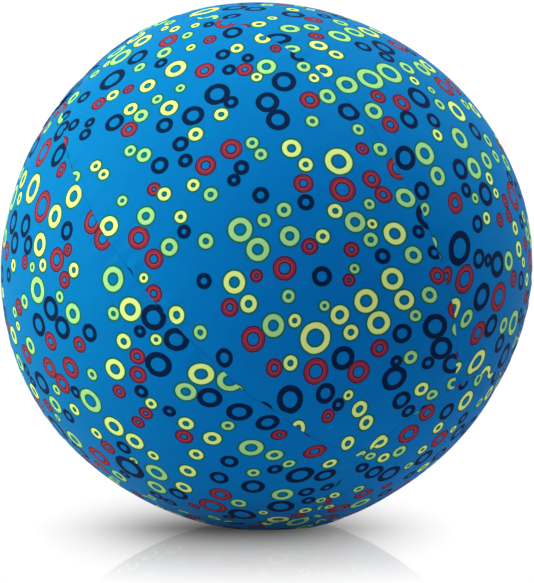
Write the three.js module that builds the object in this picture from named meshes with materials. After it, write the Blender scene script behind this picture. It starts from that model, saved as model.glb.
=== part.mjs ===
// A balloon ball: a sewn cotton cover of gores and two round ends, with a latex balloon inside.
// Millimetres, +Z up. The origin is the middle of the flat patch that the ball rests on.
// The ball is drawn about its own pole axis, with the opening at the +Z pole, and is then leaned
// over as a whole so that one gore lies on the ground.

import * as THREE from 'three';
import { mergeVertices } from 'three/addons/utils/BufferGeometryUtils.js';

const { degToRad, lerp, smoothstep } = THREE.MathUtils;

// Driving dimensions of the ball
const BALL_DIAMETER = 280;
const GORE_COUNT = 6;
const END_DIAMETER = 125; // of a round end, over its curve from seam to seam
const END_FLATTENING = 3; // how far the closed end's pole lies inside a true sphere
const FLATTENING_REACH = degToRad(50); // from that pole to where the ball is round again
const SEAM_VALLEY = 0.8; // how deep a seam draws the cloth in
const VALLEY_REACH = 14; // from a seam to where its valley has faded out
const REST_PATCH = 26; // side of the flat patch on the ground

// Driving dimensions of the cloth, its folds and the thread
const CLOTH = 0.4;
const FOLD_GAP = 0.3; // between a panel and its turned-under edge
const SEAM_ALLOWANCE = 7;
const HEM_WIDTH = 9;
const STITCH_MARGIN = 2; // from the hem's inner edge to its stitches
const SEAM_GAP = 0.4; // between two panels along a seam
const THREAD_DIAMETER = 0.5;
const CLEARANCE = 0.3;

// Driving dimensions of the opening
const MOUTH_WIDTH = 12; // from the fold of the flap to the hem of the inner flap
const FLAP_OVERLAP = 24; // of the flap over the inner flap
const FLAP_SIDE_GAP = 1.2; // from the flap's short sides to the seam around the opening
const HEM_END_MARGIN = 3; // from the ends of a hem to the ends of its stitches

// Driving dimensions of the balloon
const BALLOON_WALL = 0.4;
const NECK_DIAMETER = 6;
const NECK_RISE = 2.4; // from the floor of the dimple to the knot
const KNOT_DIAMETER = 10;
const KNOT_HEIGHT = 6;
const TAIL_LENGTH = 5.5;
const TAIL_DIAMETER = 7.6;
const LIP_DIAMETER = 10;
const LIP_HEIGHT = 1.6;
const BORE_DIAMETER = 1.6;
const DIMPLE_MARGIN = 13; // from the knot to the rim of the dimple
const TAIL_HEADROOM = 2; // from the rolled lip to the rim of the dimple

// How the ball lies
const POLE_TILT = degToRad(42.7); // of the opening from straight up
const POLE_AZIMUTH = degToRad(153.3); // of the opening around +Z, from +X

// Fineness of the facets
const FACET = 20; // longest facet side on the gores
const COLUMNS_PER_GORE = 8; // of the round ends
const FLAP_COLUMNS = 14;
const FLAP_ROWS = 4;
const RAMP_ROWS = 2;
const THREAD_SIDES = 6;
const BALLOON_SEGMENTS = 20;
const BALLOON_STEP = degToRad(12);
const DIMPLE_STEPS = 5;
const MERGE_DISTANCE = 1e-4;
const LARGEST_SHARE = 0.45; // of a panel's width that one side may turn under

// Worked-out sizes
const RADIUS = BALL_DIAMETER / 2;
const GORE_ANGLE = 2 * Math.PI / GORE_COUNT;
const END_RADIUS = END_DIAMETER / 2;
const END_ANGLE = END_RADIUS / RADIUS;
const REST_ANGLE = Math.PI - POLE_TILT;
const FOLD_DEPTH = 2 * CLOTH + FOLD_GAP; // from a panel's outside to the inside of its turned edge
const THREAD_RADIUS = THREAD_DIAMETER / 2;
const ROUND_SEGMENTS = GORE_COUNT * COLUMNS_PER_GORE;
const CREASE = 2 * CLOTH; // from a folded edge to the inside of its fold
const THREAD_DEPTH = FOLD_DEPTH;
const CHORD_SAG = FACET ** 2 / (8 * RADIUS);
const BALLOON_DEPTH = SEAM_VALLEY + THREAD_DEPTH + THREAD_RADIUS + CHORD_SAG + CLEARANCE;
const FOLD_X = -MOUTH_WIDTH / 2; // of the flap's fold, from the pole
const INNER_HEM_X = MOUTH_WIDTH / 2;
const RAMP_END_X = INNER_HEM_X - 2 * CLEARANCE; // where the flap has climbed onto the inner flap
const FLAP_HEM_X = INNER_HEM_X + FLAP_OVERLAP;
const FLAP_LIFT = FOLD_DEPTH + THREAD_DIAMETER + 2 * CLEARANCE; // of the flap over the inner flap
const STITCH_INSET = HEM_WIDTH - STITCH_MARGIN;
const DIMPLE_RADIUS = KNOT_DIAMETER / 2 + DIMPLE_MARGIN;
const DIMPLE_DEPTH = NECK_RISE + KNOT_HEIGHT + TAIL_LENGTH + LIP_HEIGHT + TAIL_HEADROOM;

const COTTON_BLUE = new THREE.MeshStandardMaterial({ color: 0x0f6fb8, roughness: 0.85, metalness: 0 });
const THREAD_BLUE = new THREE.MeshStandardMaterial({ color: 0x0d5590, roughness: 0.7, metalness: 0 });
const LATEX_WHITE = new THREE.MeshStandardMaterial({ color: 0xe9e4d8, roughness: 0.45, metalness: 0 });

// Values from one end to the other in equal steps no longer than largest, without the last one.
function divide(from, to, largest) {
  const count = Math.ceil((to - from) / largest - 1e-6);
  return Array.from({ length: count }, (_, i) => lerp(from, to, i / count));
}

function seamValley(distance) {
  return SEAM_VALLEY * (1 - smoothstep(distance, 0, VALLEY_REACH));
}

// The ball's radius without its seams, theta from the opening's pole.
function roundRadius(theta) {
  return RADIUS - END_FLATTENING * smoothstep(-Math.cos(theta), Math.cos(FLATTENING_REACH), 1);
}

// How far the cloth's outside lies from the middle of the ball.
function coverRadius(theta, phi) {
  const fromPole = Math.min(theta, Math.PI - theta);
  let toSeam = Math.abs(fromPole - END_ANGLE) * RADIUS;
  if (fromPole > END_ANGLE) {
    const gore = phi / GORE_ANGLE;
    const toGoreSeam = (0.5 - Math.abs(gore - Math.round(gore))) * GORE_ANGLE * Math.sin(theta) * RADIUS;
    toSeam = Math.min(toSeam, toGoreSeam);
  }
  return roundRadius(theta) - seamValley(toSeam);
}

function direction(theta, phi) {
  return new THREE.Vector3(
    Math.sin(theta) * Math.cos(phi), Math.sin(theta) * Math.sin(phi), Math.cos(theta));
}

// The ground's direction, and its distance from the middle when the patch's corners touch it
const GROUND = direction(REST_ANGLE, 0);
const PATCH_ROW = REST_PATCH / 2 / RADIUS;
const PATCH_COLUMN = REST_PATCH / 2 / (RADIUS * Math.sin(REST_ANGLE));
const REST_HEIGHT = Math.min(...[-PATCH_ROW, PATCH_ROW].map((row) => {
  const corner = direction(REST_ANGLE + row, PATCH_COLUMN);
  return coverRadius(REST_ANGLE + row, PATCH_COLUMN) * corner.dot(GROUND);
}));

// A point of the cover, depth below its outside, pressed flat where it meets the ground.
function coverPoint(theta, phi, depth) {
  const toward = direction(theta, phi);
  const down = toward.dot(GROUND);
  const round = coverRadius(theta, phi) - depth;
  const pressed = down > 0 ? (REST_HEIGHT - depth) / down : Infinity;
  return toward.multiplyScalar(Math.min(round, pressed));
}

// A point of the opening's end, by its distances over the cloth from the pole.
function endPoint(x, y, depth) {
  return coverPoint(Math.hypot(x, y) / RADIUS, Math.atan2(y, x), depth);
}

// One closed body with merged vertices, no empty triangles, and its faces pointing out.
function closedBody(geometry) {
  geometry.deleteAttribute('normal');
  geometry.deleteAttribute('uv');
  const merged = mergeVertices(geometry, MERGE_DISTANCE);
  const corners = merged.attributes.position;
  const faces = [];
  for (let i = 0; i < merged.index.count; i += 3) {
    const [a, b, c] = [0, 1, 2].map((k) => merged.index.getX(i + k));
    if (a !== b && b !== c && c !== a) faces.push([a, b, c]);
  }
  const at = (i) => new THREE.Vector3().fromBufferAttribute(corners, i);
  const volume = faces.reduce((sum, [a, b, c]) => sum + at(a).dot(at(b).cross(at(c))), 0);
  const outward = volume > 0 ? faces : faces.map(([a, b, c]) => [a, c, b]);
  merged.setIndex(outward.flat());
  merged.computeVertexNormals();
  return merged;
}

// A cut piece of cloth, whose sides are turned under by the widths in folds. A side with no fold is
// a plain edge. point(u, v, depth) places the piece, and acrossAt(v) and alongAt(u) are its widths.
function panel({ point, columns, rows, acrossAt, alongAt, folds }) {
  const lastColumn = columns.length - 1;
  const lastRow = rows.length - 1;
  const turned = (width, inset) => (width > 0 ? Math.min(inset, width) : 0);
  const share = (inset, length) => (length > 0 ? Math.min(inset / length, LARGEST_SHARE) : 0);
  const place = (i, j, inset, depth) => {
    const across = acrossAt(rows[j]);
    const along = alongAt(columns[i]);
    const left = share(turned(folds.left, inset), across);
    const right = share(turned(folds.right, inset), across);
    const start = share(turned(folds.start, inset), along);
    const end = share(turned(folds.end, inset), along);
    return point(lerp(left, 1 - right, columns[i]), lerp(start, 1 - end, rows[j]), depth);
  };
  const isPlain = (i, j) => (i === 0 && !folds.left) || (i === lastColumn && !folds.right)
    || (j === 0 && !folds.start) || (j === lastRow && !folds.end);

  const positions = [];
  const index = [];
  const add = (p) => positions.push(p.x, p.y, p.z) / 3 - 1;
  const grid = (inset, depth) => columns.map((_, i) => rows.map((__, j) => add(place(i, j, inset, depth))));
  const quad = (a, b, c, d) => index.push(a, b, d, b, c, d);

  const outside = grid(0, 0);
  const inside = grid(CREASE, CLOTH);
  for (let i = 0; i < lastColumn; i += 1) {
    for (let j = 0; j < lastRow; j += 1) {
      quad(outside[i][j], outside[i][j + 1], outside[i + 1][j + 1], outside[i + 1][j]);
      quad(inside[i][j], inside[i + 1][j], inside[i + 1][j + 1], inside[i][j + 1]);
    }
  }

  // The rim: over the folded edge, under the turned part, round its end and back to the crease.
  const rim = [];
  for (let j = 0; j < lastRow; j += 1) rim.push([0, j]);
  for (let i = 0; i < lastColumn; i += 1) rim.push([i, lastRow]);
  for (let j = lastRow; j > 0; j -= 1) rim.push([lastColumn, j]);
  for (let i = lastColumn; i > 0; i -= 1) rim.push([i, 0]);
  const turnedLoop = (inset, depth) => rim.map(([i, j]) =>
    (isPlain(i, j) ? inside[i][j] : add(place(i, j, inset, depth))));
  const loops = [
    rim.map(([i, j]) => outside[i][j]),
    turnedLoop(THREAD_DIAMETER, FOLD_DEPTH),
    turnedLoop(Infinity, FOLD_DEPTH),
    turnedLoop(Infinity, CLOTH + FOLD_GAP),
    rim.map(([i, j]) => inside[i][j]),
  ];
  for (let k = 0; k + 1 < loops.length; k += 1) {
    rim.forEach((_, n) => {
      const next = (n + 1) % rim.length;
      quad(loops[k][next], loops[k][n], loops[k + 1][n], loops[k + 1][next]);
    });
  }

  const geometry = new THREE.BufferGeometry();
  geometry.setAttribute('position', new THREE.Float32BufferAttribute(positions, 3));
  geometry.setIndex(index);
  return closedBody(geometry);
}

// One gore, its middle line at longitude middle.
function goreGeometry(middle) {
  const gap = SEAM_GAP / 2;
  const top = END_ANGLE + gap / RADIUS;
  const bottom = Math.PI - top;
  const patchTop = REST_ANGLE - PATCH_ROW;
  const patchBottom = REST_ANGLE + PATCH_ROW;
  const step = FACET / RADIUS;
  const angles = [
    ...divide(top, patchTop, step),
    ...divide(patchTop, patchBottom, PATCH_ROW),
    ...divide(patchBottom, bottom, step),
    bottom,
  ];
  const thetaAt = (v) => lerp(top, bottom, v);
  const widthAt = (v) => GORE_ANGLE * Math.sin(thetaAt(v)) * RADIUS - SEAM_GAP;
  const restWidth = GORE_ANGLE * Math.sin(REST_ANGLE) * RADIUS - SEAM_GAP;
  const patchShare = REST_PATCH / 2 / restWidth;
  const columnStep = FACET / widthAt(0.5);
  const columns = [
    ...divide(0, 0.5 - patchShare, columnStep),
    ...divide(0.5 - patchShare, 0.5 + patchShare, patchShare),
    ...divide(0.5 + patchShare, 1, columnStep),
    1,
  ];
  const point = (u, v, depth) => {
    const theta = thetaAt(v);
    const phi = middle + (u - 0.5) * widthAt(v) / (Math.sin(theta) * RADIUS);
    return coverPoint(theta, phi, depth);
  };
  const fold = SEAM_ALLOWANCE;
  return panel({
    point,
    columns,
    rows: angles.map((angle) => (angle - top) / (bottom - top)),
    acrossAt: widthAt,
    alongAt: () => (bottom - top) * RADIUS,
    folds: { left: fold, right: fold, start: fold, end: fold },
  });
}

// The closed end: a round cut with its edge turned under all the way round.
function closedEndGeometry() {
  const reach = END_RADIUS - SEAM_GAP / 2;
  const at = (arc, depth) => {
    const p = coverPoint(Math.PI - arc / RADIUS, 0, depth);
    return new THREE.Vector2(Math.hypot(p.x, p.y), p.z);
  };
  const crease = reach - CREASE;
  const outside = [...divide(0, reach, FACET), reach].map((arc) => at(arc, 0));
  const inside = [...divide(0, crease, FACET), crease].map((arc) => at(arc, CLOTH));
  const turned = [
    at(reach - THREAD_DIAMETER, FOLD_DEPTH),
    at(reach - SEAM_ALLOWANCE, FOLD_DEPTH),
    at(reach - SEAM_ALLOWANCE, CLOTH + FOLD_GAP),
  ];
  const profile = [...outside, ...turned, ...inside.reverse()];
  profile[0].x = 0;
  profile[profile.length - 1].x = 0;
  const geometry = new THREE.LatheGeometry(profile, ROUND_SEGMENTS);
  geometry.rotateX(Math.PI / 2);
  return closedBody(geometry);
}

// Half of the opening's end: a D from the round seam to a straight side at x, on the side that
// sign names. hem is the width turned under along the straight side, or 0 where it only folds.
function endHalfGeometry(x, sign, hem) {
  const reach = END_RADIUS - SEAM_GAP / 2;
  const corner = Math.acos(x * sign / reach);
  const roundAt = (u) => {
    const angle = lerp(corner, -corner, u);
    return { x: sign * reach * Math.cos(angle), y: reach * Math.sin(angle) };
  };
  const point = (u, v, depth) => {
    const round = roundAt(u);
    return endPoint(lerp(round.x, x, v), round.y, depth);
  };
  return panel({
    point,
    columns: [...divide(0, 1, 1 / FLAP_COLUMNS), 1],
    rows: [...divide(0, 1, 1 / FLAP_ROWS), 1],
    acrossAt: () => 0,
    alongAt: (u) => Math.abs(roundAt(u).x - x),
    folds: { left: 0, right: 0, start: SEAM_ALLOWANCE, end: hem },
  });
}

// The flap's free part: from its fold over the mouth and the inner flap to its hem.
function flapGeometry() {
  const start = FOLD_X + SEAM_GAP / 2;
  const length = FLAP_HEM_X - start;
  const halfWidthAt = (x) => Math.sqrt((END_RADIUS - FLAP_SIDE_GAP) ** 2 - x ** 2);
  const xAt = (v) => lerp(start, FLAP_HEM_X, v);
  const ramp = (RAMP_END_X - start) / length;
  const point = (u, v, depth) => {
    const x = xAt(v);
    return endPoint(x, (2 * u - 1) * halfWidthAt(x), depth - flapLift(x));
  };
  return panel({
    point,
    columns: [...divide(0, 1, 1 / FLAP_COLUMNS), 1],
    rows: [...divide(0, ramp, ramp / RAMP_ROWS), ...divide(ramp, 1, (1 - ramp) / FLAP_ROWS), 1],
    acrossAt: (v) => 2 * halfWidthAt(xAt(v)),
    alongAt: () => length,
    folds: { left: HEM_WIDTH, right: HEM_WIDTH, start: 0, end: HEM_WIDTH },
  });
}

// How far the flap stands over the round end: it climbs from its fold onto the inner flap.
function flapLift(x) {
  return FLAP_LIFT * smoothstep(x, FOLD_X, RAMP_END_X);
}

class SeamLine extends THREE.Curve {
  constructor(pointAt) {
    super();
    this.pointAt = pointAt;
  }

  getPoint(t) {
    return this.pointAt(t);
  }
}

// A thread along a line of the cover.
function threadGeometry(pointAt, steps) {
  const section = new THREE.Shape().absarc(0, 0, THREAD_RADIUS, 0, 2 * Math.PI);
  return closedBody(new THREE.ExtrudeGeometry(section, {
    steps,
    curveSegments: THREAD_SIDES / 2,
    bevelEnabled: false,
    extrudePath: new SeamLine(pointAt),
  }));
}

function goreThreadGeometry(phi) {
  const margin = (THREAD_DIAMETER + SEAM_GAP) / RADIUS;
  const top = END_ANGLE + margin;
  const bottom = Math.PI - top;
  const steps = divide(top, bottom, FACET / RADIUS).length;
  return threadGeometry((t) => coverPoint(lerp(top, bottom, t), phi, THREAD_DEPTH), steps);
}

function endThreadGeometry(theta) {
  const p = coverPoint(theta, 0, THREAD_DEPTH);
  const ring = new THREE.TorusGeometry(p.x, THREAD_RADIUS, THREAD_SIDES, ROUND_SEGMENTS);
  return closedBody(ring.translate(0, 0, p.z));
}

// Stitches along a hem, lying on the cloth, lift above the round end.
function hemThreadGeometry(x, reach, lift) {
  const half = Math.sqrt(reach ** 2 - x ** 2) - HEM_END_MARGIN;
  const depth = -(lift + CLEARANCE + THREAD_RADIUS);
  return threadGeometry((t) => endPoint(x, lerp(-half, half, t), depth), FLAP_COLUMNS);
}

// The balloon: a thin skin with a dimple under the opening, where the tied neck is tucked in.
function balloonGeometry() {
  const skin = (theta, wall) => {
    const r = roundRadius(theta) - BALLOON_DEPTH - wall;
    return new THREE.Vector2(r * Math.sin(theta), r * Math.cos(theta));
  };
  const rimAngle = DIMPLE_RADIUS / RADIUS;
  const round = (wall) => [...divide(-Math.PI, -rimAngle, BALLOON_STEP), -rimAngle]
    .map((theta) => skin(-theta, wall));
  const rimHeight = skin(rimAngle, 0).y;
  const floor = rimHeight - DIMPLE_DEPTH;
  const dimple = (wall) => {
    const rim = skin(rimAngle, wall);
    const foot = new THREE.Vector2(KNOT_DIAMETER / 2, floor - wall);
    const wallRadius = (rim.x + foot.x) / 2 + wall;
    const curve = new THREE.CubicBezierCurve(
      rim, new THREE.Vector2(wallRadius, rim.y), new THREE.Vector2(wallRadius, foot.y), foot);
    return curve.getPoints(DIMPLE_STEPS).slice(1);
  };
  const neck = NECK_DIAMETER / 2;
  const knot = KNOT_DIAMETER / 2;
  const bore = BORE_DIAMETER / 2;
  const knotFoot = floor + NECK_RISE;
  const knotTop = knotFoot + KNOT_HEIGHT;
  const lipFoot = knotTop + TAIL_LENGTH;
  const lipTop = lipFoot + LIP_HEIGHT;
  const tied = [
    [neck, knotFoot - NECK_RISE / 3], [neck, knotFoot],
    [knot, knotFoot + KNOT_HEIGHT * 0.3], [knot, knotFoot + KNOT_HEIGHT * 0.7],
    [neck, knotTop], [TAIL_DIAMETER / 2, lipFoot],
    [LIP_DIAMETER / 2, lipFoot + LIP_HEIGHT * 0.25], [LIP_DIAMETER / 2, lipFoot + LIP_HEIGHT * 0.75],
    [TAIL_DIAMETER / 2, lipTop], [TAIL_DIAMETER / 2 - BALLOON_WALL, lipFoot],
    [bore, knotTop], [bore, floor - BALLOON_WALL],
  ].map(([r, z]) => new THREE.Vector2(r, z));
  const profile = [
    ...round(0), ...dimple(0), ...tied,
    ...dimple(BALLOON_WALL).reverse(), ...round(BALLOON_WALL).reverse(),
  ];
  profile[0].x = 0;
  profile[profile.length - 1].x = 0;
  const geometry = new THREE.LatheGeometry(profile, BALLOON_SEGMENTS);
  geometry.rotateX(Math.PI / 2);
  return closedBody(geometry);
}

const ball = new THREE.Group();
ball.rotation.set(0, POLE_TILT, POLE_AZIMUTH, 'ZYX');
ball.position.z = REST_HEIGHT;

function addPiece(name, geometry, material) {
  const mesh = new THREE.Mesh(geometry, material);
  mesh.name = name;
  ball.add(mesh);
}

for (let n = 1; n <= GORE_COUNT; n += 1) {
  const middle = (n - 1) * GORE_ANGLE;
  addPiece(`gore_panel_${n}`, goreGeometry(middle), COTTON_BLUE);
  addPiece(`gore_seam_thread_${n}`, goreThreadGeometry(middle + GORE_ANGLE / 2), THREAD_BLUE);
}
addPiece('closed_end', closedEndGeometry(), COTTON_BLUE);
addPiece('flap_back', endHalfGeometry(FOLD_X - SEAM_GAP / 2, -1, 0), COTTON_BLUE);
addPiece('opening_flap', flapGeometry(), COTTON_BLUE);
addPiece('inner_flap', endHalfGeometry(INNER_HEM_X, 1, HEM_WIDTH), COTTON_BLUE);
addPiece('closed_end_thread', endThreadGeometry(Math.PI - END_ANGLE), THREAD_BLUE);
addPiece('opening_end_thread', endThreadGeometry(END_ANGLE), THREAD_BLUE);
addPiece('flap_hem_thread',
  hemThreadGeometry(FLAP_HEM_X - STITCH_INSET, END_RADIUS - FLAP_SIDE_GAP, FLAP_LIFT), THREAD_BLUE);
addPiece('inner_hem_thread',
  hemThreadGeometry(INNER_HEM_X + STITCH_INSET, END_RADIUS - SEAM_GAP / 2, 0), THREAD_BLUE);
addPiece('balloon', balloonGeometry(), LATEX_WHITE);

const model = new THREE.Group();
model.add(ball);

export default model;
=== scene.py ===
"""Dresses the balloon ball: a sewn and printed cotton cover over a latex balloon.

The ball is drawn about its own pole axis, with the opening at the upper pole, and each point is then
put into the shared frame, in metres. Cloth pieces are worked out from their flat cuts: a cut point is
first folded at its turned edges and then laid on the blown-up ball.
"""

from __future__ import annotations

import logging
import math
from dataclasses import dataclass
from enum import Enum
from functools import cached_property

import bmesh
import bpy
import numpy as np
from mathutils import Color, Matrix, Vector

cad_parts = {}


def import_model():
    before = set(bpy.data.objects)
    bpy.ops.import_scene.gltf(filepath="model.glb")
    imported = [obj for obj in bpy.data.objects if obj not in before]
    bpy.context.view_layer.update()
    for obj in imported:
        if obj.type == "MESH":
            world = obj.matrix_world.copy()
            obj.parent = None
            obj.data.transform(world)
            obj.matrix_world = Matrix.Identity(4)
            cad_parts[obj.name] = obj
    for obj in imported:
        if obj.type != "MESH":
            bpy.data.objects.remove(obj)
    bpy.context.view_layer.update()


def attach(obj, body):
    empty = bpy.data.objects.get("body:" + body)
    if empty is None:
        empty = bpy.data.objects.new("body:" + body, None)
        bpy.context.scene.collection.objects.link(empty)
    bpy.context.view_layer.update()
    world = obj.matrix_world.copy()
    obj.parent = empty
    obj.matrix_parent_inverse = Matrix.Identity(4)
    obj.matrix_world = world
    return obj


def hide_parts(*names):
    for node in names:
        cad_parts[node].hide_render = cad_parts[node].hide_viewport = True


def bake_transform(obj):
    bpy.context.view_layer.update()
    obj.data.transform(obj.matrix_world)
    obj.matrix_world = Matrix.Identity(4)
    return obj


LOG = logging.getLogger("balloon_ball")
CLOTH_MAP = "cloth"
SKIN = "balloon_skin"
FULL_TURN = 2.0 * math.pi
TINY = 1e-9

Array = np.ndarray
Colour = tuple[float, float, float, float]
Material = bpy.types.Material
Outputs = bpy.types.NodeOutputs
Pair = tuple[float, float]
Piece = bpy.types.Object
Socket = bpy.types.NodeSocket
Tree = bpy.types.NodeTree

WHITE: Colour = (1.0, 1.0, 1.0, 1.0)


class Body(Enum):
    """The bodies of the frame that pieces ride on."""

    COVER = "cover"
    FLAP = "flap"


class Slot(Enum):
    """The names of the shared materials."""

    COTTON = "printed_cotton"
    THREAD = "sewing_thread"
    LATEX = "latex"


def ink(red: int, green: int, blue: int) -> Colour:
    """Turns a screen colour, from 0 to 255, into the linear colour that a shader takes."""
    return (*Color((red / 255, green / 255, blue / 255)).from_srgb_to_scene_linear(), 1.0)


def smoothstep(value: Array, low: float, high: float) -> Array:
    """Rises smoothly from 0 at low to 1 at high."""
    share = np.clip((value - low) / (high - low), 0.0, 1.0)
    return share * share * (3.0 - 2.0 * share)


def ripple(seed: int, lengths: Pair, along: Array, loop: float = 0.0, waves: int = 7) -> Array:
    """Gives a smooth random wave along a line, the same on every run.

    Args:
        seed: Names the line.
        lengths: Shortest and longest wavelength.
        along: Distances along the line.
        loop: Length of a line that runs into itself, or 0.
        waves: How many waves are summed.

    Returns:
        Heights, about -1 to 1.
    """
    dice = np.random.default_rng(seed)
    drawn = dice.uniform(*lengths, waves)
    if loop > 0.0:
        drawn = loop / np.round(loop / drawn)
    angles = along[..., None] * (FULL_TURN / drawn) + dice.uniform(0.0, FULL_TURN, waves)
    return np.cos(angles).sum(axis=-1) / math.sqrt(waves)


def spread(start: float, end: float, largest: float) -> Array:
    """Gives values from start to end in equal steps no larger than largest, without the two ends."""
    count = max(int(math.ceil((end - start) / largest)), 2)
    return np.linspace(start, end, count + 1)[1:-1]


def grid_faces(rows: int, columns: int, closed: bool = False) -> Array:
    """Lists the faces of a grid of points.

    Args:
        rows: Number of rows.
        columns: Number of points in a row.
        closed: Whether the last column joins the first.

    Returns:
        Four point numbers for each face.
    """
    here = np.arange(columns if closed else columns - 1)
    following = (here + 1) % columns
    corners = np.stack([here, following, following + columns, here + columns], axis=-1)
    return (columns * np.arange(rows - 1)[:, None, None] + corners).reshape(-1, 4)


def placed(name: str, data: bpy.types.ID) -> Piece:
    """Puts a mesh, a light or a camera into the scene.

    Args:
        name: Name of the object.
        data: What it shows.

    Returns:
        The object, at the origin.
    """
    made = bpy.data.objects.new(name, data)
    bpy.context.scene.collection.objects.link(made)
    return made


def meshed(name: str, points: Array, edges: list, faces: list) -> Piece:
    """Makes a smooth mesh.

    Args:
        name: Name of the piece.
        points: Its points in the frame.
        edges: Point numbers of each edge that no face has.
        faces: Point numbers of each face.

    Returns:
        The piece.
    """
    mesh = bpy.data.meshes.new(name)
    mesh.from_pydata(points.reshape(-1, 3).tolist(), edges, faces)
    mesh.validate()
    mesh.shade_smooth()
    return placed(name, mesh)


def settle(made: Piece) -> None:
    """Replaces a piece's mesh by what its modifiers make of it, and removes them.

    Args:
        made: The piece.
    """
    bpy.context.view_layer.update()
    graph = bpy.context.evaluated_depsgraph_get()
    shaped = made.evaluated_get(graph)
    mesh = bpy.data.meshes.new_from_object(shaped, preserve_all_data_layers=True, depsgraph=graph)
    mesh.name = made.name
    mesh.shade_smooth()
    worn = made.data
    made.modifiers.clear()
    made.data = mesh
    bpy.data.meshes.remove(worn)


def grown(name: str, line: Array, closed: bool, tree: Tree, values: dict[str, object]) -> Piece:
    """Grows a piece along a line by a node tree, and keeps it as a plain mesh.

    Args:
        name: Name of the piece.
        line: Points of the line.
        closed: Whether the line runs into itself.
        tree: The node tree.
        values: The tree's inputs by name.

    Returns:
        The piece.
    """
    numbers = list(range(len(line)))
    made = meshed(name, line, list(zip(numbers, numbers[1:] + numbers[:closed])), [])
    growth = made.modifiers.new(tree.name, "NODES")
    growth.node_group = tree
    for item in tree.interface.items_tree:
        if item.in_out == "INPUT" and item.name in values:
            growth[item.identifier] = values[item.name]
    settle(made)
    return made


@dataclass(frozen=True)
class Bulge:
    """A broad rise or hollow of the hand-sewn ball, centred on its outline from the front.

    The place is an angle in degrees, counter-clockwise from the right, and so is the reach.
    """

    clock: float
    height: float
    reach: float


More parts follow.
